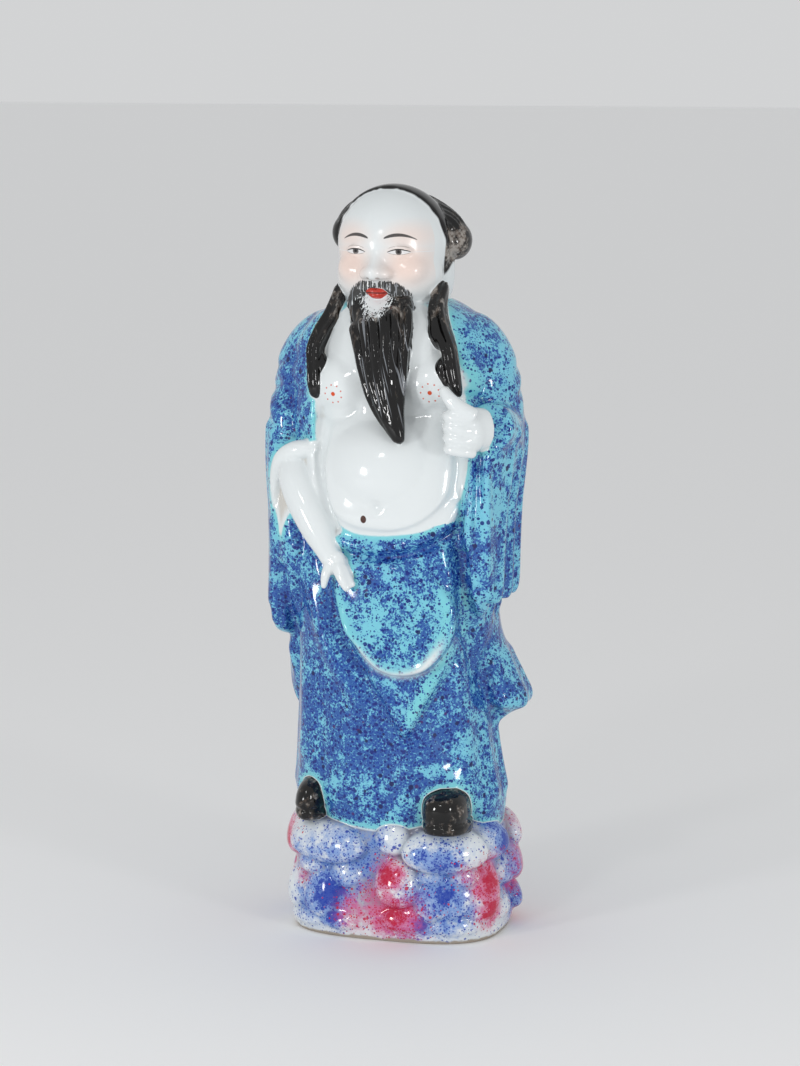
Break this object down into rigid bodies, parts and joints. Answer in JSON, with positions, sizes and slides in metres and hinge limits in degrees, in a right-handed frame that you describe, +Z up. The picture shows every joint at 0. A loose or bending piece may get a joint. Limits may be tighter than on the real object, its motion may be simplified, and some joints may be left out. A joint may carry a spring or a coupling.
{
  "type": "porcelain immortal figure",
  "caption": "Standing porcelain figure of a bearded, bare-bellied immortal in a draped open coat, cast in one with its rock, on a flat foot.",
  "frame": {"origin": "on the flat underside, under the middle of the figure", "axes": "+Z up, -Y the way that the figure looks, +X towards the figure's left hand"},
  "size_m": [0.1078, 0.0788, 0.3002],
  "materials": {
    "glazed_porcelain": "glossy clear glaze over turquoise and cobalt speckle, white skin, black hair and a splashed rock"
  },
  "bodies": {
    "root": {"immortal_figure": "glazed_porcelain"}
  },
  "joints": []
}
